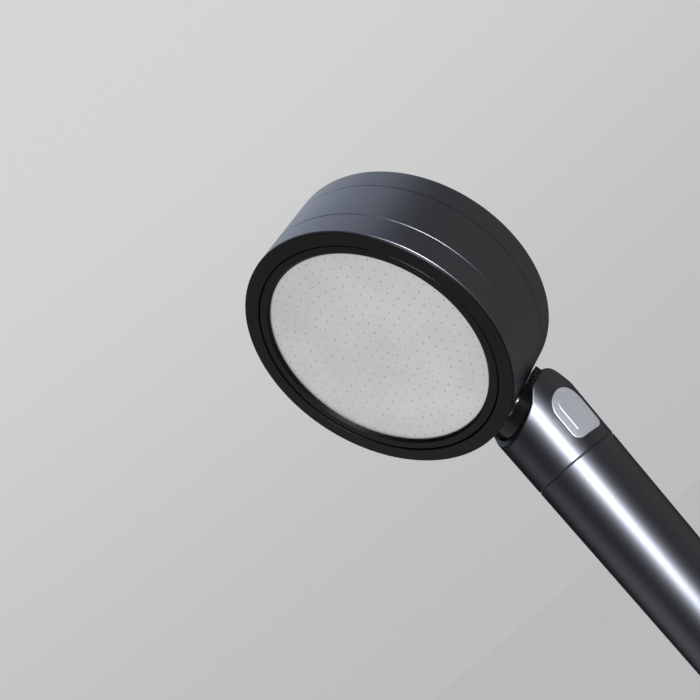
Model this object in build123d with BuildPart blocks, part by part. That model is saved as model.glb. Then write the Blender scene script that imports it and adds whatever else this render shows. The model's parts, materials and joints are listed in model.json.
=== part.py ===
"""Handheld shower head: a flat drum on a swivel neck, a valve housing with a stop button, a tapered handle.

Millimetres. The origin is on the axis of the hose thread, where its full diameter begins, and the handle
stands up along +Z.
The water leaves the drum toward -Y and downward. The stop button is on the +X side.
"""
from build123d import *
from math import cos, radians, sin
import os

# --- Driving dimensions ---------------------------------------------------------------------------
LEAN = 21.65                # degrees between the drum's axis and the horizontal
DRUM_RADIUS = 45.0
DRUM_DEPTH = 33.5           # from the spray face to the back
FRONT_SEAM = 9.5            # depth of the joint between front ring and shell
REAR_SEAM = 24.8            # depth of the joint between shell and rear cap
SEAM_GAP = 0.1
SEAM_BEVEL = 0.12
SHELL_WALL = 1.5
RING_WALL = 1.7             # the front ring is a little thicker than the shell
EDGE_CHAMFER = 0.25         # bevel at the front edge of the front ring
PLATE_SIGHT_RADIUS = 36.7   # what shows of the spray plate
RETAINER_RADIUS = 40.0      # groove between retainer and bezel
PLATE_DEPTH = 1.6           # the plate lies this far behind the face
PLATE_THICKNESS = 0.5
JET_DIAMETER = 0.4
JET_RINGS = 10
JET_PITCH = 3.5             # radial distance between rings of jets

SEAM_HEIGHT = 145.0         # joint between handle tube and valve housing
AXES_CROSSING = 222.1       # height where the drum's axis crosses the handle's
FACE_TO_CROSSING = 37.5     # from the spray face to that crossing, along the drum's axis
HANDLE_RADIUS = 14.7        # at the seam
HANDLE_TAPER = 0.021        # radius lost for each millimetre toward the hose
TUBE_FOOT = 12.5            # lower end of the handle tube
THREAD_RADIUS = 10.4775     # G1/2 male thread, major radius
THREAD_LENGTH = 9.2
THREAD_CORE_RADIUS = 9.3    # undercut behind the thread

NECK_RADIUS = 12.8          # over the ribs of the swivel collar
RIB_RADIUS = 0.2
RIB_COUNT = 31              # ribs in each of the two grip patches, left and right
RIB_SECTOR = 72.0           # degrees from the first rib of a patch to the last
COLLAR_END = 51.8           # distances along the neck are measured from the drum's axis
POCKET_FLOOR = 52.2
TOWER_RADIUS = 11.0
TOWER_TOP = 47.0
SPIGOT_END = 60.3
SPIGOT_BORE = 3.8

BUTTON_HALF_WIDTH = 6.45
BUTTON_LOW = 149.0
BUTTON_HIGH = 165.4
BUTTON_CORNER = 2.7
BUTTON_TRAVEL = 2.0
PAD_HALF_WIDTH = 4.25       # raised pad on the button
PAD_LOW = 151.6
PAD_HIGH = 163.8

SPOOL_HEIGHT = 151.6
SPOOL_RADIUS = 3.5
SPOOL_BORE = 3.55

# --- Frames ---------------------------------------------------------------------------------------
lean = radians(LEAN)
DEPTH_DIR = Vector(0, cos(lean), sin(lean))             # drum axis, from the face to the back
NECK_DIR = Vector(0, sin(lean), -cos(lean))             # neck axis, from the drum to the handle
FACE_CENTRE = Vector(0, 0, AXES_CROSSING) - DEPTH_DIR * FACE_TO_CROSSING
NECK_START = FACE_CENTRE + DEPTH_DIR * (DRUM_DEPTH / 2)
HEAD_SECTION = Plane(origin=FACE_CENTRE, x_dir=(1, 0, 0), z_dir=-NECK_DIR)  # x is radius, y is depth
NECK_SECTION = Plane(origin=NECK_START, x_dir=(1, 0, 0), z_dir=DEPTH_DIR)  # x is radius, y is along the neck
HANDLE_SECTION = Plane.XZ  # x is radius, y is height
SPOOL_SECTION = Plane(origin=(0, 0, SPOOL_HEIGHT), x_dir=(1, 0, 0), z_dir=(0, -1, 0))
HEAD_AXIS = Axis(FACE_CENTRE, DEPTH_DIR)
NECK_AXIS = Axis(NECK_START, NECK_DIR)
SPOOL_AXIS = Axis((0, 0, SPOOL_HEIGHT), (1, 0, 0))


def face_plane(depth):
    """The plane across the drum at a depth behind the spray face."""
    return Plane(origin=FACE_CENTRE + DEPTH_DIR * depth, x_dir=(1, 0, 0), z_dir=DEPTH_DIR)


def neck_plane(distance):
    """The plane across the neck at a distance from the drum's axis."""
    return Plane(origin=NECK_START + NECK_DIR * distance, x_dir=(1, 0, 0), z_dir=NECK_DIR)


def handle_radius(height):
    """Outer radius of the tapered handle at a height."""
    return HANDLE_RADIUS + HANDLE_TAPER * (height - SEAM_HEIGHT)


def band(inner, outer, start, end, mode=Mode.ADD):
    """In the open sketch, a rectangle between two radii and two positions along the axis."""
    with Locations(((inner + outer) / 2, (start + end) / 2)):
        Rectangle(outer - inner, end - start, mode=mode)


def outline(*points):
    """In the open sketch, the face inside a closed outline."""
    with BuildLine() as edge:
        Polyline(*points, close=True)
    make_face(edge.edges())


def d_shape(half_width, low, high, corner):
    """In the open sketch, a D standing on its straight side: round above, with two small corners below."""
    centre = high - half_width
    with Locations((0, centre)):
        Circle(half_width)
    with Locations((0, (low + centre) / 2)):
        Rectangle(2 * half_width, centre - low)
    if corner:
        fillet(vertices().group_by(Axis.Y)[0], radius=corner)


def save(part, name):
    """Label a finished piece and write it."""
    part.label = name
    export_step(part, f"parts/{name}.step")


os.makedirs("parts", exist_ok=True)

# --- Drum casing ----------------------------------------------------------------------------------
SHELL_INNER = DRUM_RADIUS - SHELL_WALL
BACK_THICKNESS = 2.2
BACK_EDGE = 1.0
BACK_DISH_RADIUS = 40.0
BACK_DISH_DEPTH = 0.5
BACK_INSIDE = DRUM_DEPTH - BACK_THICKNESS
LIP_RADIUS = SHELL_INNER - 0.1
LIP_START = REAR_SEAM - 1.4
FLANGE_FRONT = 6.5          # flange of the water chamber, which the casing is screwed to
FLANGE_BACK = 9.3
FLANGE_RADIUS = 43.2
POST_CIRCLE = 41.0          # circle of the screw posts
POST_RADIUS = 2.1
SCREW_RADIUS = 1.05
SCREW_END = 19.0
SCREW_HEAD_RADIUS = 1.95
SCREW_HEAD_HEIGHT = 1.3
DRIVE_ACROSS_FLATS = 1.5

with BuildPart() as rear_cap:
    with BuildSketch(HEAD_SECTION):
        outline(
            (0, BACK_INSIDE),
            (LIP_RADIUS - 1.1, BACK_INSIDE),
            (LIP_RADIUS - 1.1, LIP_START),
            (LIP_RADIUS, LIP_START),
            (LIP_RADIUS, REAR_SEAM + SEAM_GAP / 2),
            (DRUM_RADIUS, REAR_SEAM + SEAM_GAP / 2),
            (DRUM_RADIUS, DRUM_DEPTH - BACK_EDGE),
            (DRUM_RADIUS - BACK_EDGE, DRUM_DEPTH),
            (BACK_DISH_RADIUS, DRUM_DEPTH),
            (BACK_DISH_RADIUS - BACK_DISH_DEPTH, DRUM_DEPTH - BACK_DISH_DEPTH),
            (0, DRUM_DEPTH - BACK_DISH_DEPTH),
        )
    revolve(axis=HEAD_AXIS)
    with BuildSketch(face_plane(FLANGE_BACK)):
        with PolarLocations(POST_CIRCLE, 4, start_angle=45):
            Circle(POST_RADIUS)
    extrude(amount=BACK_INSIDE - FLANGE_BACK)
    with BuildSketch(face_plane(FLANGE_BACK)):
        with PolarLocations(POST_CIRCLE, 4, start_angle=45):
            Circle(SCREW_RADIUS)
    extrude(amount=SCREW_END + 1 - FLANGE_BACK, mode=Mode.SUBTRACT)
save(rear_cap.part, "rear_cap")

SPIGOT_RADIUS = 6.3

with BuildPart() as drum_shell:
    with BuildSketch(HEAD_SECTION):
        outline(
            (SHELL_INNER, FRONT_SEAM + SEAM_GAP / 2),
            (DRUM_RADIUS - SEAM_BEVEL, FRONT_SEAM + SEAM_GAP / 2),
            (DRUM_RADIUS, FRONT_SEAM + SEAM_GAP / 2 + SEAM_BEVEL),
            (DRUM_RADIUS, REAR_SEAM - SEAM_GAP / 2 - SEAM_BEVEL),
            (DRUM_RADIUS - SEAM_BEVEL, REAR_SEAM - SEAM_GAP / 2),
            (SHELL_INNER, REAR_SEAM - SEAM_GAP / 2),
        )
    revolve(axis=HEAD_AXIS)
    with BuildSketch(neck_plane(DRUM_RADIUS - 5)):
        Circle(SPIGOT_RADIUS + 0.2)
    extrude(amount=10, mode=Mode.SUBTRACT)
save(drum_shell.part, "drum_shell")

RING_FRONT = 0.6            # the bezel's flange lies in front of the ring
FLANGE_GAP = 0.05
RING_INNER = DRUM_RADIUS - RING_WALL

with BuildPart() as front_ring:
    with BuildSketch(HEAD_SECTION):
        outline(
            (RING_INNER, RING_FRONT),
            (DRUM_RADIUS - EDGE_CHAMFER, RING_FRONT),
            (DRUM_RADIUS, RING_FRONT + EDGE_CHAMFER),
            (DRUM_RADIUS, FRONT_SEAM - SEAM_GAP / 2 - SEAM_BEVEL),
            (DRUM_RADIUS - SEAM_BEVEL, FRONT_SEAM - SEAM_GAP / 2),
            (RING_INNER, FRONT_SEAM - SEAM_GAP / 2),
        )
    revolve(axis=HEAD_AXIS)
save(front_ring.part, "front_ring")

BEZEL_BACK = 4.9
BEZEL_RADIUS = DRUM_RADIUS - 0.1
BEZEL_INNER = RETAINER_RADIUS + 0.15
BEZEL_ROUND = 0.2
PIN_CIRCLE = 41.4           # four pins of the bezel press into the chamber's flange
PIN_RADIUS = 1.4
PIN_END = 8.6

with BuildPart() as face_bezel:
    with BuildSketch(HEAD_SECTION):
        outline(
            (BEZEL_INNER + BEZEL_ROUND, 0),
            (BEZEL_RADIUS - BEZEL_ROUND, 0),
            (BEZEL_RADIUS, BEZEL_ROUND),
            (BEZEL_RADIUS, RING_FRONT - FLANGE_GAP),
            (RING_INNER - 0.1, RING_FRONT - FLANGE_GAP),
            (RING_INNER - 0.1, BEZEL_BACK),
            (BEZEL_INNER, BEZEL_BACK),
            (BEZEL_INNER, BEZEL_ROUND),
        )
    revolve(axis=HEAD_AXIS)
    with BuildSketch(face_plane(BEZEL_BACK)):
        with PolarLocations(PIN_CIRCLE, 4):
            Circle(PIN_RADIUS)
    extrude(amount=PIN_END - BEZEL_BACK)
save(face_bezel.part, "face_bezel")

# --- Spray face -----------------------------------------------------------------------------------
PLATE_RADIUS = 38.2
PLATE_BACK = PLATE_DEPTH + PLATE_THICKNESS
SEAT_DEPTH = 3.4            # front face of the water chamber, under the gasket
CHAMBER_RIM = 38.5
RETAINER_FACE = 0.35
SIGHT_BEVEL = 0.7

with BuildPart() as plate_retainer:
    with BuildSketch(HEAD_SECTION):
        outline(
            (PLATE_SIGHT_RADIUS + SIGHT_BEVEL, RETAINER_FACE),
            (RETAINER_RADIUS - 0.3, RETAINER_FACE),
            (RETAINER_RADIUS, RETAINER_FACE + 0.3),
            (RETAINER_RADIUS, BEZEL_BACK),
            (CHAMBER_RIM + 0.05, BEZEL_BACK),
            (CHAMBER_RIM + 0.05, PLATE_DEPTH),
            (PLATE_SIGHT_RADIUS, PLATE_DEPTH),
            (PLATE_SIGHT_RADIUS, RETAINER_FACE + SIGHT_BEVEL),
        )
    revolve(axis=HEAD_AXIS)
save(plate_retainer.part, "plate_retainer")

with BuildPart() as spray_plate:
    with BuildSketch(face_plane(PLATE_DEPTH)):
        Circle(PLATE_RADIUS)
        Circle(JET_DIAMETER / 2, mode=Mode.SUBTRACT)
        for ring in range(1, JET_RINGS + 1):
            with PolarLocations(ring * JET_PITCH, 6 * ring):
                Circle(JET_DIAMETER / 2, mode=Mode.SUBTRACT)
    extrude(amount=PLATE_THICKNESS)
save(spray_plate.part, "spray_plate")

GASKET_INNER = 35.6

with BuildPart() as plate_gasket:
    with BuildSketch(HEAD_SECTION):
        band(GASKET_INNER, PLATE_RADIUS, PLATE_BACK, SEAT_DEPTH)
    revolve(axis=HEAD_AXIS)
save(plate_gasket.part, "plate_gasket")

# --- Water chamber --------------------------------------------------------------------------------
CHAMBER_BORE = 35.3
LEDGE_DEPTH = 10.5          # the diffuser rests here
CHAMBER_INNER = 33.8
CHAMBER_OUTER = 36.2
CHAMBER_FLOOR = 24.0
CHAMBER_BACK = 26.2
BOSS_RADIUS = 8.3
BOSS_START = 30.0
BOSS_END = 41.6
SOCKET_START = 36.8
RIM_SHOULDER = 37.8

with BuildPart() as water_chamber:
    with BuildSketch(HEAD_SECTION):
        outline(
            (CHAMBER_BORE, SEAT_DEPTH),
            (CHAMBER_RIM, SEAT_DEPTH),
            (CHAMBER_RIM, FLANGE_FRONT),
            (FLANGE_RADIUS, FLANGE_FRONT),
            (FLANGE_RADIUS, FLANGE_BACK),
            (RIM_SHOULDER, FLANGE_BACK),
            (RIM_SHOULDER, LEDGE_DEPTH + 1),
            (CHAMBER_OUTER, LEDGE_DEPTH + 2.6),
            (CHAMBER_OUTER, CHAMBER_BACK),
            (0, CHAMBER_BACK),
            (0, CHAMBER_FLOOR),
            (CHAMBER_INNER, CHAMBER_FLOOR),
            (CHAMBER_INNER, LEDGE_DEPTH),
            (CHAMBER_BORE, LEDGE_DEPTH),
        )
    revolve(axis=HEAD_AXIS)
    with BuildSketch(neck_plane(BOSS_START)):
        Circle(BOSS_RADIUS)
    extrude(amount=BOSS_END - BOSS_START)
    with BuildSketch(HEAD_SECTION):
        band(0, CHAMBER_INNER, LEDGE_DEPTH, CHAMBER_FLOOR)
        band(0, CHAMBER_BORE, 0, LEDGE_DEPTH)
    revolve(axis=HEAD_AXIS, mode=Mode.SUBTRACT)
    with BuildSketch(neck_plane(SOCKET_START)):
        Circle(SPIGOT_RADIUS)
    extrude(amount=BOSS_END - SOCKET_START, mode=Mode.SUBTRACT)
    with BuildSketch(neck_plane(BOSS_START)):
        Circle(SPIGOT_BORE)
    extrude(amount=BOSS_END - BOSS_START, mode=Mode.SUBTRACT)
    with BuildSketch(face_plane(FLANGE_FRONT)):
        with PolarLocations(POST_CIRCLE, 4, start_angle=45):
            Circle(SCREW_RADIUS + 0.15)
        with PolarLocations(PIN_CIRCLE, 4):
            Circle(PIN_RADIUS)
    extrude(amount=FLANGE_BACK - FLANGE_FRONT, mode=Mode.SUBTRACT)
save(water_chamber.part, "water_chamber")

DIFFUSER_THICKNESS = 1.5
DIFFUSER_HOLE = 1.3
DIFFUSER_RINGS = 4

with BuildPart() as flow_diffuser:
    with BuildSketch(face_plane(LEDGE_DEPTH - DIFFUSER_THICKNESS)):
        Circle(CHAMBER_BORE - 0.05)
        for ring in range(1, DIFFUSER_RINGS + 1):
            with PolarLocations(ring * 7.8, 6 * ring):
                Circle(DIFFUSER_HOLE, mode=Mode.SUBTRACT)
    extrude(amount=DIFFUSER_THICKNESS)
save(flow_diffuser.part, "flow_diffuser")

with BuildPart() as casing_screws:
    with BuildSketch(face_plane(FLANGE_FRONT - SCREW_HEAD_HEIGHT)):
        with PolarLocations(POST_CIRCLE, 4, start_angle=45):
            Circle(SCREW_HEAD_RADIUS)
            RegularPolygon(DRIVE_ACROSS_FLATS / 2, 6, major_radius=False, mode=Mode.SUBTRACT)
    extrude(amount=SCREW_HEAD_HEIGHT - 0.4)
    with BuildSketch(face_plane(FLANGE_FRONT - 0.4)):
        with PolarLocations(POST_CIRCLE, 4, start_angle=45):
            Circle(SCREW_HEAD_RADIUS)
    extrude(amount=0.4)
    with BuildSketch(face_plane(FLANGE_FRONT)):
        with PolarLocations(POST_CIRCLE, 4, start_angle=45):
            Circle(SCREW_RADIUS)
    extrude(amount=SCREW_END - FLANGE_FRONT)
save(casing_screws.part, "casing_screws")

# --- Swivel neck ----------------------------------------------------------------------------------
SHOULDER_START = 49.0
SHOULDER_END = 50.2
SHOULDER_RADIUS = 8.6
NUT_RADIUS = 10.0
COUNTERBORE_FLOOR = 50.8
JOURNAL_RADIUS = 6.3
TOWER_BORE = 6.35
GROOVE_WIDTH = 1.8
GROOVE_RADIUS = 5.1
SEAL_STARTS = (52.6, 56.4)
SEAL_SECTION = 0.58
COLLAR_FACE = DRUM_RADIUS + 0.5     # the collar's end follows the drum's wall at this radius
COLLAR_WEB = 46.7
COLLAR_INNER = 11.35

with BuildPart() as neck_spigot:
    with BuildSketch(NECK_SECTION):
        band(SPIGOT_BORE, SPIGOT_RADIUS, SOCKET_START, SHOULDER_START)
        band(SPIGOT_BORE, SHOULDER_RADIUS, SHOULDER_START, SHOULDER_END)
        band(SPIGOT_BORE, JOURNAL_RADIUS, SHOULDER_END, SPIGOT_END)
        for start in SEAL_STARTS:
            band(GROOVE_RADIUS, JOURNAL_RADIUS, start, start + GROOVE_WIDTH, mode=Mode.SUBTRACT)
    revolve(axis=NECK_AXIS)
save(neck_spigot.part, "neck_spigot")

with BuildPart() as spigot_seals:
    with BuildSketch(NECK_SECTION):
        for start in SEAL_STARTS:
            with Locations((GROOVE_RADIUS + SEAL_SECTION + 0.01, start + GROOVE_WIDTH / 2)):
                Circle(SEAL_SECTION)
    revolve(axis=NECK_AXIS)
save(spigot_seals.part, "spigot_seals")

with BuildPart() as swivel_collar:
    with BuildSketch(neck_plane(DRUM_RADIUS - 5)):
        Circle(NECK_RADIUS - RIB_RADIUS)
        for side in (0, 180):
            first = side - RIB_SECTOR / 2
            with PolarLocations(NECK_RADIUS - RIB_RADIUS, RIB_COUNT, first, RIB_SECTOR, endpoint=True):
                Circle(RIB_RADIUS)
    extrude(amount=COLLAR_END - DRUM_RADIUS + 5)
    with BuildSketch(NECK_SECTION):
        band(0, SPIGOT_RADIUS + 0.02, DRUM_RADIUS - 5, COLLAR_END)
        band(0, COLLAR_INNER, COLLAR_WEB, COLLAR_END)
    revolve(axis=NECK_AXIS, mode=Mode.SUBTRACT)
    with BuildSketch(face_plane(0)):
        Circle(COLLAR_FACE)
    extrude(amount=DRUM_DEPTH, mode=Mode.SUBTRACT)
save(swivel_collar.part, "swivel_collar")

with BuildPart() as swivel_nut:
    with BuildSketch(neck_plane(TOWER_TOP + 0.1)):
        Circle(NUT_RADIUS)
        Circle(SPIGOT_RADIUS + 0.15, mode=Mode.SUBTRACT)
    extrude(amount=SHOULDER_START - TOWER_TOP - 0.2)
    with BuildSketch(neck_plane(TOWER_TOP + 0.1)):
        with PolarLocations(NUT_RADIUS - 0.95, 4):
            Circle(0.45)
    extrude(amount=1.0, mode=Mode.SUBTRACT)
save(swivel_nut.part, "swivel_nut")

with BuildPart() as friction_washer:
    with BuildSketch(NECK_SECTION):
        band(TOWER_BORE + 0.1, NUT_RADIUS - 0.1, SHOULDER_END + 0.1, COUNTERBORE_FLOOR)
    revolve(axis=NECK_AXIS)
save(friction_washer.part, "friction_washer")

# --- Valve housing and valve body -----------------------------------------------------------------
HOUSING_FOOT = SEAM_HEIGHT + 0.15
HOUSING_TOP = 174.0
HOUSING_BORE = 13.0
BODY_RADIUS = 12.9
SHELF_HEIGHT = 160.0
BEAD_LOW = 147.0
BEAD_HIGH = 148.0
BEAD_HEIGHT = 0.3
SADDLE_CORNERS = ((-17, 160.2), (-9.15, 166.8), (-6.15, 170.9), (2.95, 174.5), (8.55, 166.8), (16.4, 160.2))
SADDLE_BENDS = (4, 5, 6, 4)         # radii at the inner corners of that outline, seen from the side
SADDLE_CEILING = 180.0
LIP_ROUND = 0.8

with BuildPart() as valve_housing:
    with BuildSketch(HANDLE_SECTION):
        outline(
            (HOUSING_BORE, HOUSING_FOOT),
            (handle_radius(HOUSING_FOOT) - 0.2, HOUSING_FOOT),
            (handle_radius(HOUSING_FOOT), HOUSING_FOOT + 0.2),
            (handle_radius(HOUSING_TOP), HOUSING_TOP),
            (0, HOUSING_TOP),
            (0, SHELF_HEIGHT),
            (HOUSING_BORE, SHELF_HEIGHT),
            (HOUSING_BORE, BEAD_HIGH),
            (HOUSING_BORE + BEAD_HEIGHT, BEAD_HIGH),
            (HOUSING_BORE + BEAD_HEIGHT, BEAD_LOW),
            (HOUSING_BORE, BEAD_LOW),
        )
    revolve(axis=Axis.Z)
    with BuildSketch(Plane.YZ):
        with BuildLine():
            lip = FilletPolyline(*SADDLE_CORNERS, radius=SADDLE_BENDS)
            back, front = SADDLE_CORNERS[-1][0], SADDLE_CORNERS[0][0]
            Polyline(lip @ 1, (back, SADDLE_CEILING), (front, SADDLE_CEILING), lip @ 0)
        make_face()
    extrude(amount=20, both=True, mode=Mode.SUBTRACT)
    wall = faces().filter_by(GeomType.CONE).sort_by(SortBy.AREA)[-1]
    fillet([edge for edge in wall.edges() if edge.center().Z > SHELF_HEIGHT + 0.5], radius=LIP_ROUND)
    with BuildSketch(NECK_SECTION):
        band(0, NECK_RADIUS + 0.35, DRUM_RADIUS - 10, POCKET_FLOOR)
        band(0, TOWER_RADIUS + 0.15, DRUM_RADIUS, POCKET_FLOOR + 12)
    revolve(axis=NECK_AXIS, mode=Mode.SUBTRACT)
    with BuildSketch(Plane.YZ.offset(9.0)):
        d_shape(BUTTON_HALF_WIDTH + 0.12, BUTTON_LOW - 0.12, BUTTON_HIGH + 0.12, BUTTON_CORNER)
    extrude(amount=10, mode=Mode.SUBTRACT)
save(valve_housing.part, "valve_housing")

BODY_FOOT = 128.0
THREAD_SEAT_RADIUS = 12.4           # lower end of the valve body, which the handle tube screws onto
TUBE_SOCKET_RADIUS = 8.0
TUBE_SOCKET_TOP = 141.0
INLET_RADIUS = 3.0
INLET_OFFSET = -2.0
OUTLET_CENTRE = (2.5, 1.25)
OUTLET_SIZE = (1.8, 5.5)
OUTLET_TOP = 158.3
RECESS_FLOOR = 11.7 - BUTTON_TRAVEL   # flat floor under the pressed button
PLUG_START = 11.1
PLUG_RADIUS = 4.5

with BuildPart() as valve_body:
    with BuildSketch(HANDLE_SECTION):
        band(0, THREAD_SEAT_RADIUS, BODY_FOOT, HOUSING_FOOT)
        band(0, BODY_RADIUS, HOUSING_FOOT - 0.1, SHELF_HEIGHT)
        band(0, BODY_RADIUS + BEAD_HEIGHT, BEAD_LOW + 0.1, BEAD_HIGH - 0.1)
    revolve(axis=Axis.Z)
    with BuildSketch(NECK_SECTION):
        band(0, NECK_RADIUS + 0.35, DRUM_RADIUS - 10, POCKET_FLOOR + 0.05)
    revolve(axis=NECK_AXIS, mode=Mode.SUBTRACT)
    with BuildSketch(NECK_SECTION):
        band(0, TOWER_RADIUS, TOWER_TOP, SPIGOT_END - 2)
    revolve(axis=NECK_AXIS)
    with BuildSketch(NECK_SECTION):
        band(0, TOWER_BORE, TOWER_TOP - 1, SPIGOT_END + 0.3)
        band(0, NUT_RADIUS, TOWER_TOP - 1, COUNTERBORE_FLOOR)
    revolve(axis=NECK_AXIS, mode=Mode.SUBTRACT)
    with BuildSketch(Plane.YZ.offset(RECESS_FLOOR)):
        d_shape(BUTTON_HALF_WIDTH + 0.4, BUTTON_LOW - 0.4, BUTTON_HIGH + 0.4, BUTTON_CORNER)
    extrude(amount=10, mode=Mode.SUBTRACT)
    with BuildSketch(Plane.YZ.offset(-PLUG_START)):
        with Locations((0, SPOOL_HEIGHT)):
            Circle(SPOOL_BORE)
    extrude(amount=PLUG_START + RECESS_FLOOR, mode=Mode.SUBTRACT)
    with BuildSketch(Plane.YZ.offset(-BODY_RADIUS)):
        with Locations((0, SPOOL_HEIGHT)):
            Circle(PLUG_RADIUS)
    extrude(amount=BODY_RADIUS - PLUG_START, mode=Mode.SUBTRACT)
    with BuildSketch(Plane.XY.offset(BODY_FOOT)):
        Circle(TUBE_SOCKET_RADIUS)
    extrude(amount=TUBE_SOCKET_TOP - BODY_FOOT, mode=Mode.SUBTRACT)
    with BuildSketch(Plane.XY.offset(TUBE_SOCKET_TOP)):
        with Locations((INLET_OFFSET, 0)):
            Circle(INLET_RADIUS)
    extrude(amount=SPOOL_HEIGHT - TUBE_SOCKET_TOP, mode=Mode.SUBTRACT)
    with BuildSketch(Plane.XY.offset(SPOOL_HEIGHT)):
        with Locations(OUTLET_CENTRE):
            Rectangle(*OUTLET_SIZE)
    extrude(amount=OUTLET_TOP - SPOOL_HEIGHT, mode=Mode.SUBTRACT)
save(valve_body.part, "valve_body")

# --- Stop valve -----------------------------------------------------------------------------------
SPOOL_LEFT = -7.2
SPOOL_RIGHT = 9.0
WAIST = (-5.0, 3.6)                 # the water passes round this narrow stretch while the button is out
WAIST_RADIUS = 1.8
SPOOL_GROOVES = (-6.9, 4.2, 6.6)
SPOOL_GROOVE_WIDTH = 1.4
SPOOL_GROOVE_RADIUS = 2.65
SPOOL_SEAL_SECTION = 0.42
SPRING_COILS = 4
SPRING_RADIUS = 2.4
SPRING_WIRE = 0.25
STEM_RADIUS = 2.2

with BuildPart() as valve_spool:
    with BuildSketch(SPOOL_SECTION):
        with Locations(((SPOOL_LEFT + SPOOL_RIGHT) / 2, SPOOL_RADIUS / 2)):
            Rectangle(SPOOL_RIGHT - SPOOL_LEFT, SPOOL_RADIUS)
        with Locations(((WAIST[0] + WAIST[1]) / 2, (WAIST_RADIUS + SPOOL_RADIUS) / 2)):
            Rectangle(WAIST[1] - WAIST[0], SPOOL_RADIUS - WAIST_RADIUS, mode=Mode.SUBTRACT)
        for start in SPOOL_GROOVES:
            with Locations((start + SPOOL_GROOVE_WIDTH / 2, (SPOOL_GROOVE_RADIUS + SPOOL_RADIUS) / 2)):
                Rectangle(SPOOL_GROOVE_WIDTH, SPOOL_RADIUS - SPOOL_GROOVE_RADIUS, mode=Mode.SUBTRACT)
    revolve(axis=SPOOL_AXIS)
save(valve_spool.part, "valve_spool")

with BuildPart() as spool_seals:
    with BuildSketch(SPOOL_SECTION):
        for start in SPOOL_GROOVES:
            with Locations((start + SPOOL_GROOVE_WIDTH / 2, SPOOL_GROOVE_RADIUS + SPOOL_SEAL_SECTION + 0.01)):
                Circle(SPOOL_SEAL_SECTION)
    revolve(axis=SPOOL_AXIS)
save(spool_seals.part, "spool_seals")

with BuildPart() as button_spring:
    free_length = SPOOL_LEFT + PLUG_START - 2 * SPRING_WIRE
    with BuildLine():
        coil = Helix(
            pitch=free_length / SPRING_COILS,
            height=free_length,
            radius=SPRING_RADIUS,
            center=(SPRING_WIRE - PLUG_START, 0, SPOOL_HEIGHT),
            direction=(1, 0, 0),
        )
    with BuildSketch(Plane(origin=coil @ 0, z_dir=coil % 0)):
        Circle(SPRING_WIRE - 0.02)
    sweep(path=coil, is_frenet=True)
save(button_spring.part, "button_spring")

with BuildPart() as valve_plug:
    with BuildSketch(Plane.YZ.offset(-PLUG_START)):
        with Locations((0, SPOOL_HEIGHT)):
            Circle(PLUG_RADIUS)
    extrude(amount=-(BODY_RADIUS - PLUG_START))
    with BuildSketch(HANDLE_SECTION):
        band(0, BODY_RADIUS - 0.05, SPOOL_HEIGHT - PLUG_RADIUS - 1, SPOOL_HEIGHT + PLUG_RADIUS + 1)
    revolve(axis=Axis.Z, mode=Mode.INTERSECT)
    with BuildSketch(Plane.YZ.offset(-BODY_RADIUS)):
        with Locations((0, SPOOL_HEIGHT)):
            Rectangle(5.0, 0.8)
    extrude(amount=0.7, mode=Mode.SUBTRACT)
save(valve_plug.part, "valve_plug")

CAP_UNDERSIDE = 13.7                # radius of the button's hollow side
CAP_PROUD = 0.2                     # the button's rim stands this far out of the housing
CAP_ROUND = 0.35
PAD_PROUD = 0.5
PAD_BEVEL = 0.22

with BuildPart() as button_pad:
    with BuildSketch(HANDLE_SECTION):
        outline(
            (CAP_UNDERSIDE, BUTTON_LOW),
            (handle_radius(BUTTON_LOW) + PAD_PROUD, BUTTON_LOW),
            (handle_radius(BUTTON_HIGH) + PAD_PROUD, BUTTON_HIGH),
            (CAP_UNDERSIDE, BUTTON_HIGH),
        )
    revolve(axis=Axis.Z)
    with BuildSketch(Plane.YZ):
        d_shape(PAD_HALF_WIDTH, PAD_LOW, PAD_HIGH, 0)
    extrude(amount=25, mode=Mode.INTERSECT)
    chamfer(faces().sort_by(Axis.X)[-1].edges(), length=PAD_BEVEL)

with BuildPart() as stop_button:
    with BuildSketch(HANDLE_SECTION):
        outline(
            (CAP_UNDERSIDE, BUTTON_LOW - 1),
            (handle_radius(BUTTON_LOW - 1) + CAP_PROUD, BUTTON_LOW - 1),
            (handle_radius(BUTTON_HIGH + 1) + CAP_PROUD, BUTTON_HIGH + 1),
            (CAP_UNDERSIDE, BUTTON_HIGH + 1),
        )
    revolve(axis=Axis.Z)
    with BuildSketch(Plane.YZ):
        d_shape(BUTTON_HALF_WIDTH, BUTTON_LOW, BUTTON_HIGH, BUTTON_CORNER)
    extrude(amount=25, mode=Mode.INTERSECT)
    fillet(faces().sort_by(Axis.X)[-1].edges(), radius=CAP_ROUND)
    add(button_pad.part)
    with BuildSketch(Plane.YZ.offset(SPOOL_RIGHT)):
        with Locations((0, SPOOL_HEIGHT)):
            Circle(STEM_RADIUS)
    extrude(amount=CAP_UNDERSIDE + 0.5 - SPOOL_RIGHT)
save(stop_button.part, "stop_button")

# --- Handle ---------------------------------------------------------------------------------------
TUBE_WALL = 1.7
TUBE_TOP = SEAM_HEIGHT - 0.15
CONNECTOR_SEAT = 10.2               # bore at the foot of the tube
CONNECTOR_TOP = 26.0
SEAT_TOP = 126.0

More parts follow.
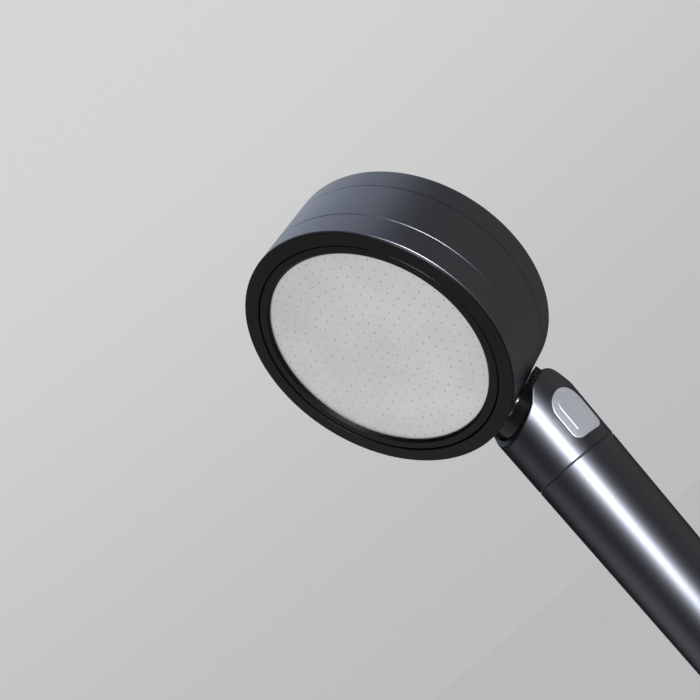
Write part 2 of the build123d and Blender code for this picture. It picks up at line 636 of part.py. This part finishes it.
with BuildPart() as handle_tube:
    with BuildSketch(HANDLE_SECTION):
        outline(
            (CONNECTOR_SEAT, TUBE_FOOT),
            (handle_radius(TUBE_FOOT) - 0.3, TUBE_FOOT),
            (handle_radius(TUBE_FOOT), TUBE_FOOT + 0.3),
            (handle_radius(TUBE_TOP), TUBE_TOP - 0.2),
            (handle_radius(TUBE_TOP) - 0.2, TUBE_TOP),
            (THREAD_SEAT_RADIUS + 0.05, TUBE_TOP),
            (THREAD_SEAT_RADIUS + 0.05, SEAT_TOP),
            (handle_radius(SEAT_TOP) - TUBE_WALL - 0.4, SEAT_TOP),
            (handle_radius(CONNECTOR_TOP) - TUBE_WALL, CONNECTOR_TOP),
            (CONNECTOR_SEAT, CONNECTOR_TOP),
        )
    revolve(axis=Axis.Z)
save(handle_tube.part, "handle_tube")

with BuildPart() as seam_gasket:
    with BuildSketch(HANDLE_SECTION):
        band(BODY_RADIUS + 0.1, HANDLE_RADIUS - 0.3, TUBE_TOP, HOUSING_FOOT)
    revolve(axis=Axis.Z)
save(seam_gasket.part, "seam_gasket")

TUBE_END_RADIUS = 7.9
TUBE_BODY_RADIUS = 7.0
TUBE_BORE = 5.5
WATER_TUBE_FOOT = 20.8
WATER_TUBE_TOP = 140.7
TUBE_GROOVES = (23.0, 136.8)
TUBE_GROOVE_WIDTH = 1.8
TUBE_GROOVE_RADIUS = 6.7
TUBE_SEAL_SECTION = 0.62
TUBE_END_LENGTH = 8.0

with BuildPart() as water_tube:
    with BuildSketch(HANDLE_SECTION):
        band(TUBE_BORE, TUBE_BODY_RADIUS, WATER_TUBE_FOOT, WATER_TUBE_TOP)
        band(TUBE_BORE, TUBE_END_RADIUS, WATER_TUBE_FOOT, WATER_TUBE_FOOT + TUBE_END_LENGTH)
        band(TUBE_BORE, TUBE_END_RADIUS, WATER_TUBE_TOP - TUBE_END_LENGTH, WATER_TUBE_TOP)
        for start in TUBE_GROOVES:
            band(TUBE_GROOVE_RADIUS, TUBE_END_RADIUS, start, start + TUBE_GROOVE_WIDTH, mode=Mode.SUBTRACT)
    revolve(axis=Axis.Z)
save(water_tube.part, "water_tube")

with BuildPart() as tube_seals:
    with BuildSketch(HANDLE_SECTION):
        for start in TUBE_GROOVES:
            with Locations((TUBE_GROOVE_RADIUS + TUBE_SEAL_SECTION + 0.01, start + TUBE_GROOVE_WIDTH / 2)):
                Circle(TUBE_SEAL_SECTION)
    revolve(axis=Axis.Z)
save(tube_seals.part, "tube_seals")

# --- Hose connector -------------------------------------------------------------------------------
COLLAR_LOW = 10.0
COLLAR_RADIUS = 11.8
THREAD_CHAMFER = 0.8
CONNECTOR_BORE = 6.5
CONNECTOR_SOCKET = 20.5
STRAINER_RADIUS = 8.0
STRAINER_FRONT = 0.4
STRAINER_SEAT = 2.4
CONNECTOR_GROOVE = (13.2, 15.0)
CONNECTOR_GROOVE_RADIUS = 9.0
CONNECTOR_SEAL_SECTION = 0.56

with BuildPart() as hose_connector:
    with BuildSketch(HANDLE_SECTION):
        outline(
            (STRAINER_RADIUS, -THREAD_CHAMFER),
            (THREAD_RADIUS - THREAD_CHAMFER, -THREAD_CHAMFER),
            (THREAD_RADIUS, 0),
            (THREAD_RADIUS, THREAD_LENGTH),
            (THREAD_CORE_RADIUS, THREAD_LENGTH),
            (THREAD_CORE_RADIUS, COLLAR_LOW),
            (COLLAR_RADIUS - 0.4, COLLAR_LOW),
            (COLLAR_RADIUS, COLLAR_LOW + 0.4),
            (COLLAR_RADIUS, TUBE_FOOT),
            (CONNECTOR_SEAT - 0.05, TUBE_FOOT),
            (CONNECTOR_SEAT - 0.05, CONNECTOR_TOP),
            (TUBE_SOCKET_RADIUS, CONNECTOR_TOP),
            (TUBE_SOCKET_RADIUS, CONNECTOR_SOCKET),
            (CONNECTOR_BORE, CONNECTOR_SOCKET),
            (CONNECTOR_BORE, STRAINER_SEAT),
            (STRAINER_RADIUS, STRAINER_SEAT),
        )
        band(CONNECTOR_GROOVE_RADIUS, CONNECTOR_SEAT, *CONNECTOR_GROOVE, mode=Mode.SUBTRACT)
    revolve(axis=Axis.Z)
save(hose_connector.part, "hose_connector")

with BuildPart() as connector_seal:
    with BuildSketch(HANDLE_SECTION):
        with Locations((CONNECTOR_GROOVE_RADIUS + CONNECTOR_SEAL_SECTION + 0.01, sum(CONNECTOR_GROOVE) / 2)):
            Circle(CONNECTOR_SEAL_SECTION)
    revolve(axis=Axis.Z)
save(connector_seal.part, "connector_seal")

with BuildPart() as inlet_strainer:
    with BuildSketch(Plane.XY.offset(STRAINER_FRONT)):
        Circle(STRAINER_RADIUS)
        for ring in range(1, 5):
            with PolarLocations(1.6 * ring, 6 * ring):
                Circle(0.5, mode=Mode.SUBTRACT)
        Circle(0.5, mode=Mode.SUBTRACT)
    extrude(amount=0.5)
    with BuildSketch(HANDLE_SECTION):
        band(STRAINER_RADIUS - 0.7, STRAINER_RADIUS, STRAINER_FRONT, STRAINER_SEAT)
    revolve(axis=Axis.Z)
save(inlet_strainer.part, "inlet_strainer")
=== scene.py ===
"""Looks of the handheld shower head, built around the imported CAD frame. Lengths are millimetres times MM."""
import json
from math import cos, pi, radians, sin

import bmesh
import bpy
from mathutils import Matrix, Vector


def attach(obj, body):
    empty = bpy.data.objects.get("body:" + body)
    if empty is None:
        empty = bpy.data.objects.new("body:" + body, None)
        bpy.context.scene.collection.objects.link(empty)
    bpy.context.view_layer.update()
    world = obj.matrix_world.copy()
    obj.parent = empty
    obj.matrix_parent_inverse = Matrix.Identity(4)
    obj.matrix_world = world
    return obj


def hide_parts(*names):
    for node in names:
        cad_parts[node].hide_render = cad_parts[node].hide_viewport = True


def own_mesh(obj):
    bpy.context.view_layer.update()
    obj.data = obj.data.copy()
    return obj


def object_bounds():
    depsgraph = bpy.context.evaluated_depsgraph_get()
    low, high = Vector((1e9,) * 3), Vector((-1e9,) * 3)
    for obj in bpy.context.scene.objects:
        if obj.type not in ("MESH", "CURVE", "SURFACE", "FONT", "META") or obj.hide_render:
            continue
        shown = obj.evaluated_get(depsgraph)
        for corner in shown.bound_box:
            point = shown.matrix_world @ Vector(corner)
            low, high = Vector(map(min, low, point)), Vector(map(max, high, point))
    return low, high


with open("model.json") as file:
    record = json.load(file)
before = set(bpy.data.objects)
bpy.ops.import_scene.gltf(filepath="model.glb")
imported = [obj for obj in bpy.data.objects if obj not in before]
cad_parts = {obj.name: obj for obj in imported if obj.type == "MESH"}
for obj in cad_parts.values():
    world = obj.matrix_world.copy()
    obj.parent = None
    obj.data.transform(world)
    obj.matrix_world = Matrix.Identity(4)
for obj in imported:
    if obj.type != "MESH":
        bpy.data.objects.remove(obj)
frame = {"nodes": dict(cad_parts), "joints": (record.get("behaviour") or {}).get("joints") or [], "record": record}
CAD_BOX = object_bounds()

MM = 0.001
LEAN = radians(21.65)
DEPTH_DIR = Vector((0, cos(LEAN), sin(LEAN)))
SWIVEL = next(joint for joint in frame["joints"] if joint["name"] == "head_swivel")
NECK_START = Vector(SWIVEL["pos_m"])
DRUM_RADIUS = 45.0
DRUM_DEPTH = 33.5
FACE_CENTRE = NECK_START - DEPTH_DIR * (DRUM_DEPTH / 2 * MM)


# --- Materials ------------------------------------------------------------------------------------
class Shader:
    """A material's node tree with short calls for the nodes used here."""

    def __init__(self, name):
        self.material = bpy.data.materials.new(name)
        self.material.use_nodes = True
        self.tree = self.material.node_tree
        self.surface = self.tree.nodes["Principled BSDF"]

    def node(self, kind, **values):
        made = self.tree.nodes.new(kind)
        for key, value in values.items():
            if hasattr(made, key):
                setattr(made, key, value)
            else:
                made.inputs[key.replace("_", " ")].default_value = value
        return made

    def link(self, source, target):
        self.tree.links.new(source, target)

    def set(self, **values):
        for key, value in values.items():
            self.surface.inputs[key.replace("_", " ")].default_value = value

    def place(self):
        """Object coordinates in metres."""
        return self.node("ShaderNodeTexCoord").outputs["Object"]

    def noise(self, scale, detail=3.0, roughness=0.5, stretch=None):
        made = self.node("ShaderNodeTexNoise", Scale=scale, Detail=detail, Roughness=roughness)
        source = self.place()
        if stretch:
            mapping = self.node("ShaderNodeMapping", Scale=stretch)
            self.link(source, mapping.inputs["Vector"])
            source = mapping.outputs["Vector"]
        self.link(source, made.inputs["Vector"])
        return made.outputs["Fac"]

    def turned(self, centre, axis, scale):
        """Fine concentric marks of turning round an axis."""
        offset = self.node("ShaderNodeVectorMath", operation="SUBTRACT")
        self.link(self.place(), offset.inputs[0])
        offset.inputs[1].default_value = centre
        cross = self.node("ShaderNodeVectorMath", operation="CROSS_PRODUCT")
        self.link(offset.outputs["Vector"], cross.inputs[0])
        cross.inputs[1].default_value = axis
        radius = self.node("ShaderNodeVectorMath", operation="LENGTH")
        self.link(cross.outputs["Vector"], radius.inputs[0])
        made = self.node("ShaderNodeTexNoise", noise_dimensions="1D", Scale=scale, Detail=3.0, Roughness=0.7)
        self.link(radius.outputs["Value"], made.inputs["W"])
        return made.outputs["Fac"]

    def ramp(self, source, low, high, start=0.3, end=0.7):
        """Maps a value to a colour between low and high."""
        made = self.node("ShaderNodeValToRGB")
        made.color_ramp.elements[0].position = start
        made.color_ramp.elements[1].position = end
        made.color_ramp.elements[0].color = low
        made.color_ramp.elements[1].color = high
        self.link(source, made.inputs["Fac"])
        return made.outputs["Color"]

    def range(self, source, low, high, start=0.3, end=0.7):
        """Maps a value to a number between low and high."""
        made = self.node("ShaderNodeMapRange")
        made.inputs["From Min"].default_value = start
        made.inputs["From Max"].default_value = end
        made.inputs["To Min"].default_value = low
        made.inputs["To Max"].default_value = high
        self.link(source, made.inputs["Value"])
        return made.outputs["Result"]

    def bump(self, source, depth, strength=1.0):
        """Bump by a height in metres."""
        made = self.node("ShaderNodeBump", Strength=strength, Distance=depth)
        self.link(source, made.inputs["Height"])
        self.link(made.outputs["Normal"], self.surface.inputs["Normal"])


def grey(value, tint=(1.0, 1.0, 1.0)):
    """A grey of a value, turned toward a tint."""
    return (value * tint[0], value * tint[1], value * tint[2], 1.0)


def satin_metal(name, value, tint, roughness, grain, depth=0.000004, metallic=1.0):
    """Bead-blasted metal: a fine grain, and a slow change of tone and gloss across the surface."""
    shader = Shader(name)
    shader.set(Metallic=metallic)
    slow = shader.noise(35.0, detail=2.0)
    fine = shader.noise(grain, detail=4.0, roughness=0.65)
    tone = shader.ramp(slow, grey(value * 0.93, tint), grey(value * 1.07, tint))
    shader.link(tone, shader.surface.inputs["Base Color"])
    gloss = shader.range(fine, roughness - 0.03, roughness + 0.03)
    shader.link(gloss, shader.surface.inputs["Roughness"])
    shader.bump(fine, depth)
    return shader.material


def moulded_plastic(name, value, tint, roughness, specular=0.5, grain=9000.0, depth=0.000006):
    """Moulded plastic with a fine spark-eroded texture."""
    shader = Shader(name)
    shader.set(Specular_IOR_Level=specular)
    fine = shader.noise(grain, detail=3.0, roughness=0.6)
    slow = shader.noise(60.0, detail=2.0)
    tone = shader.ramp(slow, grey(value * 0.9, tint), grey(value * 1.1, tint))
    shader.link(tone, shader.surface.inputs["Base Color"])
    gloss = shader.range(fine, roughness - 0.04, roughness + 0.04)
    shader.link(gloss, shader.surface.inputs["Roughness"])
    shader.bump(fine, depth)
    return shader.material


def turned_plastic(name, value, roughness, specular):
    """Black plastic with the faint concentric marks of its turned mould."""
    shader = Shader(name)
    shader.set(Specular_IOR_Level=specular)
    marks = shader.turned(FACE_CENTRE, DEPTH_DIR, 5000.0)
    slow = shader.noise(60.0, detail=2.0)
    tone = shader.ramp(slow, grey(value * 0.85), grey(value * 1.15))
    shader.link(tone, shader.surface.inputs["Base Color"])
    gloss = shader.range(marks, roughness - 0.08, roughness + 0.08)
    shader.link(gloss, shader.surface.inputs["Roughness"])
    shader.bump(marks, 0.000004)
    return shader.material


NEUTRAL = (1.0, 1.0, 1.0)
GUNMETAL_TINT = (0.93, 0.96, 1.08)
BUTTON_TINT = (0.94, 0.98, 1.06)
STEEL_TINT = (1.0, 0.985, 0.97)
BRASS_TINT = (0.98, 0.99, 1.02)
WASHER_TINT = (1.0, 1.0, 0.98)
MATERIALS = {
    "gunmetal": satin_metal("gunmetal", 0.125, GUNMETAL_TINT, 0.37, 4200.0, depth=0.000007),
    "face_black": turned_plastic("face_black", 0.003, 0.36, 0.18),
    "collar_black": moulded_plastic("collar_black", 0.003, NEUTRAL, 0.18, specular=0.3, depth=0.000001),
    "button_silver": satin_metal("button_silver", 0.85, BUTTON_TINT, 0.43, 7000.0, metallic=0.4),
    "spray_steel": satin_metal("spray_steel", 0.92, STEEL_TINT, 0.36, 5000.0, metallic=0.5),
    "fastener_steel": satin_metal("fastener_steel", 0.55, NEUTRAL, 0.30, 4000.0),
    "chamber_plastic": moulded_plastic("chamber_plastic", 0.06, NEUTRAL, 0.45),
    "valve_plastic": moulded_plastic("valve_plastic", 0.008, NEUTRAL, 0.38, specular=0.35),
    "washer_plastic": moulded_plastic("washer_plastic", 0.80, WASHER_TINT, 0.35),
    "plated_brass": satin_metal("plated_brass", 0.60, BRASS_TINT, 0.18, 4000.0),
    "seal_rubber": moulded_plastic("seal_rubber", 0.015, NEUTRAL, 0.55, grain=5000.0),
}

for entry in frame["record"]["subparts"]:
    node = frame["nodes"][entry["node"]]
    node.data.materials.clear()
    node.data.materials.append(MATERIALS[entry["material_slot"]])


# --- Hose thread ----------------------------------------------------------------------------------
THREAD_PITCH = 1.814            # G1/2, 14 threads per inch
THREAD_DEPTH = 1.162
THREAD_RADIUS = 10.4775
THREAD_LENGTH = 9.2
THREAD_CHAMFER = 0.8
CORE_RADIUS = 9.3
COLLAR_LOW = 10.0
COLLAR_RADIUS = 11.8
COLLAR_TOP = 12.5
BORE_RADIUS = 6.5
STRAINER_SEAT = 2.4
STRAINER_RADIUS = 8.0
AROUND = 192                    # steps round the thread
ALONG = 150                     # steps along it
ROOT_FLAT = 0.13                # shares of the half pitch: flat root, then flank
FLANK = 0.74
ROUNDING = 0.35                 # how far the flank bends into a rounded crest and root
RUN_OUT_SLOPE = 1.2
RUN_OUT_DEPTH = 0.6
SMOOTH_ANGLE = radians(50)


def thread_radius(turn, height):
    """Radius of the 55 degree Whitworth form at a fraction of a turn and a height, in millimetres."""
    phase = (height / THREAD_PITCH - turn) % 1.0
    flank = 1.0 - abs(2.0 * phase - 1.0)
    crest = min(max((flank - ROOT_FLAT) / FLANK, 0.0), 1.0)
    crest = crest * crest * (3.0 - 2.0 * crest) * ROUNDING + crest * (1.0 - ROUNDING)
    radius = THREAD_RADIUS - THREAD_DEPTH * (1.0 - crest)
    lead_in = THREAD_RADIUS + height
    run_out = THREAD_RADIUS + (THREAD_LENGTH - height) * RUN_OUT_SLOPE - RUN_OUT_DEPTH
    return max(min(radius, lead_in, run_out), CORE_RADIUS)


def make_connector():
    """The hose connector with a real helical thread, in place of the CAD node's plain cylinder."""
    section = [(STRAINER_RADIUS, STRAINER_SEAT), (STRAINER_RADIUS, 0.3 - THREAD_CHAMFER)]
    section += [(STRAINER_RADIUS + 0.3, -THREAD_CHAMFER), (THREAD_RADIUS - THREAD_CHAMFER, -THREAD_CHAMFER)]
    first = len(section)
    step = (THREAD_LENGTH + THREAD_CHAMFER) / ALONG
    section += [(None, index * step - THREAD_CHAMFER) for index in range(1, ALONG)]
    last = len(section)
    section += [(CORE_RADIUS, THREAD_LENGTH), (CORE_RADIUS, COLLAR_LOW - 0.2)]
    section += [(CORE_RADIUS + 0.2, COLLAR_LOW), (COLLAR_RADIUS - 0.4, COLLAR_LOW)]
    section += [(COLLAR_RADIUS - 0.1, COLLAR_LOW + 0.12), (COLLAR_RADIUS, COLLAR_LOW + 0.4)]
    section += [(COLLAR_RADIUS, COLLAR_TOP), (BORE_RADIUS, COLLAR_TOP), (BORE_RADIUS, STRAINER_SEAT)]
    made = bmesh.new()
    rings = []
    for radius, height in section:
        ring = []
        for index in range(AROUND):
            turn = index / AROUND
            distance = thread_radius(turn, height) if radius is None else radius
            angle = 2.0 * pi * turn
            place = (distance * cos(angle) * MM, distance * sin(angle) * MM, height * MM)
            ring.append(made.verts.new(place))
        rings.append(ring)
    for number, ring in enumerate(rings):
        following = rings[(number + 1) % len(rings)]
        for index in range(AROUND):
            after = (index + 1) % AROUND
            face = made.faces.new((ring[index], ring[after], following[after], following[index]))
            face.smooth = first - 1 <= number < last
    bmesh.ops.recalc_face_normals(made, faces=made.faces)
    mesh = bpy.data.meshes.new("threaded_connector")
    made.to_mesh(mesh)
    made.free()
    piece = bpy.data.objects.new("threaded_connector", mesh)
    bpy.context.scene.collection.objects.link(piece)
    mesh.materials.append(MATERIALS["plated_brass"])
    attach(piece, "handle")
    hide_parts("hose_connector")
    mesh.set_sharp_from_angle(angle=SMOOTH_ANGLE)


make_connector()


def make_spring():
    """The button's return spring, a copy of the CAD node's mesh that rides on the handle."""
    cad_spring = frame["nodes"]["button_spring"]
    piece = bpy.data.objects.new("return_spring", cad_spring.data.copy())
    bpy.context.scene.collection.objects.link(piece)
    piece.matrix_world = cad_spring.matrix_world
    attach(piece, "handle")
    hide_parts("button_spring")
    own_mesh(piece)


make_spring()


# --- Stage, lights and camera ---------------------------------------------------------------------
FLOOR_TINT = (1.03, 1.0, 0.945)
FLOOR_REACH = 40                # metres from the object to the floor's edge


def stage_material():
    """A matt pale studio floor."""
    shader = Shader("studio_floor")
    slow = shader.noise(3.0, detail=2.0)
    tone = shader.ramp(slow, grey(0.77, FLOOR_TINT), grey(0.79, FLOOR_TINT))
    shader.link(tone, shader.surface.inputs["Base Color"])
    shader.set(Roughness=0.9, Specular_IOR_Level=0.1)
    return shader.material


def make_floor():
    """A plain pale floor under the handle's foot, which reflections don't meet."""
    lowest = CAD_BOX[0].z
    corners = [(-1, -1), (1, -1), (1, 1), (-1, 1)]
    mesh = bpy.data.meshes.new("floor")
    mesh.from_pydata([(x * FLOOR_REACH, y * FLOOR_REACH, 0) for x, y in corners], [], [(0, 1, 2, 3)])
    floor = bpy.data.objects.new("floor", mesh)
    floor.location.z = lowest
    bpy.context.scene.collection.objects.link(floor)
    mesh.materials.append(stage_material())
    floor.visible_glossy = False


def softbox(name, direction, distance, width, height, power, tint=(1.0, 1.0, 1.0), aim=(0.0, 0.0, 0.12)):
    """An upright rectangular lamp that looks at a point of the object and lights only its gloss."""
    lamp = bpy.data.lights.new(name, "AREA")
    lamp.shape = "RECTANGLE"
    lamp.size = width
    lamp.size_y = height
    lamp.energy = power
    lamp.color = tint
    made = bpy.data.objects.new(name, lamp)
    away = Vector(direction).normalized()
    made.location = Vector(aim) + away * distance
    made.rotation_mode = "QUATERNION"
    made.rotation_quaternion = (-away).to_track_quat("-Z", "Y")
    made.visible_camera = False
    made.visible_diffuse = False
    bpy.context.scene.collection.objects.link(made)


class Sky:
    """The world's node tree: what each kind of ray meets, worked out from its direction."""

    def __init__(self):
        world = bpy.data.worlds.new("studio")
        world.use_nodes = True
        bpy.context.scene.world = world
        self.tree = world.node_tree
        self.direction = self.tree.nodes.new("ShaderNodeTexCoord").outputs["Generated"]
        self.ray = self.tree.nodes.new("ShaderNodeLightPath").outputs

    def facing(self, toward, start, end):
        """0 to 1 as the cosine of the angle to a direction goes from start to end."""
        dot = self.tree.nodes.new("ShaderNodeVectorMath")
        dot.operation = "DOT_PRODUCT"
        self.tree.links.new(self.direction, dot.inputs[0])
        dot.inputs[1].default_value = Vector(toward).normalized()
        fade = self.tree.nodes.new("ShaderNodeMapRange")
        fade.interpolation_type = "SMOOTHSTEP"
        fade.inputs["From Min"].default_value = start
        fade.inputs["From Max"].default_value = end
        self.tree.links.new(dot.outputs["Value"], fade.inputs["Value"])
        return fade.outputs["Result"]

    def mixed(self, factor, first, second):
        """first at factor 0, second at factor 1; either is a colour or a socket."""
        mix = self.tree.nodes.new("ShaderNodeMix")
        mix.data_type = "RGBA"
        self.tree.links.new(factor, mix.inputs["Factor"])
        for value, socket in ((first, mix.inputs[6]), (second, mix.inputs[7])):
            if isinstance(value, tuple):
                socket.default_value = value
            else:
                self.tree.links.new(value, socket)
        return mix.outputs[2]


KEY_FROM = (0.777, -0.629, 0.05)
KEY_DISTANCE = 0.95
KEY_WIDTH = 0.24
KEY_HEIGHT = 0.50
KEY_POWER = 15.0
KEY_TINT = (0.95, 0.97, 1.0)

# What reflections meet: colours, the directions they come from, and the cosines where each starts and is full.
AMBIENT = (0.02, 0.02, 0.023, 1.0)
OVERHEAD = (0.9, 0.99, 1.15, 1.0)
OVERHEAD_FROM = (-0.2, 0.42, 0.88)
OVERHEAD_SPREAD = (0.52, 0.98)
SIDE = (0.30, 0.28, 0.275, 1.0)
SIDE_FROM = (0.55, 0.82, 0.15)
SIDE_SPREAD = (0.62, 1.0)
BELOW = (0.32, 0.305, 0.30, 1.0)
BELOW_FROM = (0, 0, -1)
BELOW_SPREAD = (0.1, 0.55)
FRONT = (0.68, 0.69, 0.72, 1.0)
FRONT_FROM = (-0.70, -0.60, -0.45)
FRONT_SPREAD = (0.78, 0.96)
# What matt surfaces and the camera meet.
SOFT_FILL = (0.62, 0.63, 0.65, 1.0)
BACKDROP_LOW = (0.51, 0.515, 0.52, 1.0)
BACKDROP_HIGH = (0.66, 0.66, 0.665, 1.0)
BACKDROP_SPREAD = (0.0, 0.5)


def make_world():
    """A dim studio: cool glow overhead, warm at the side and below, bright in front, and a pale backdrop."""
    sky = Sky()
    glow = sky.mixed(sky.facing(BELOW_FROM, *BELOW_SPREAD), AMBIENT, BELOW)
    glow = sky.mixed(sky.facing(OVERHEAD_FROM, *OVERHEAD_SPREAD), glow, OVERHEAD)
    glow = sky.mixed(sky.facing(SIDE_FROM, *SIDE_SPREAD), glow, SIDE)
    glow = sky.mixed(sky.facing(FRONT_FROM, *FRONT_SPREAD), glow, FRONT)
    glow = sky.mixed(sky.ray["Is Diffuse Ray"], glow, SOFT_FILL)
    backdrop = sky.mixed(sky.facing((0, 0, 1), *BACKDROP_SPREAD), BACKDROP_LOW, BACKDROP_HIGH)
    seen = sky.mixed(sky.ray["Is Camera Ray"], glow, backdrop)
    sky.tree.links.new(seen, sky.tree.nodes["Background"].inputs["Color"])


CAMERA_RIGHT = (0.3735, 0.6921, -0.6180)
CAMERA_UP = (0.5419, 0.3775, 0.7510)
FOCAL_LENGTH = 68.0
SENSOR_WIDTH = 36.0
CAMERA_FROM_FACE = (6.741, -5.657, -1.989)      # in drum radii, from the middle of the spray face


def make_camera():
    """The photograph's viewpoint: before the spray face, on the button's side, a little below the drum."""
    right = Vector(CAMERA_RIGHT)
    up = Vector(CAMERA_UP)
    back = right.cross(up).normalized()
    right = up.cross(back).normalized()
    lens = bpy.data.cameras.new("camera")
    lens.lens = FOCAL_LENGTH
    lens.sensor_width = SENSOR_WIDTH
    lens.clip_start = 0.02
    lens.clip_end = 100.0
    camera = bpy.data.objects.new("camera", lens)
    place = FACE_CENTRE + DRUM_RADIUS * MM * Vector(CAMERA_FROM_FACE)
    turn = Matrix((right, up, back)).transposed().to_4x4()
    camera.matrix_world = Matrix.Translation(place) @ turn
    bpy.context.scene.collection.objects.link(camera)
    bpy.context.scene.camera = camera


make_floor()
make_world()
softbox("key", KEY_FROM, KEY_DISTANCE, KEY_WIDTH, KEY_HEIGHT, KEY_POWER, KEY_TINT)
make_camera()
bpy.context.scene.view_settings.view_transform = "Standard"
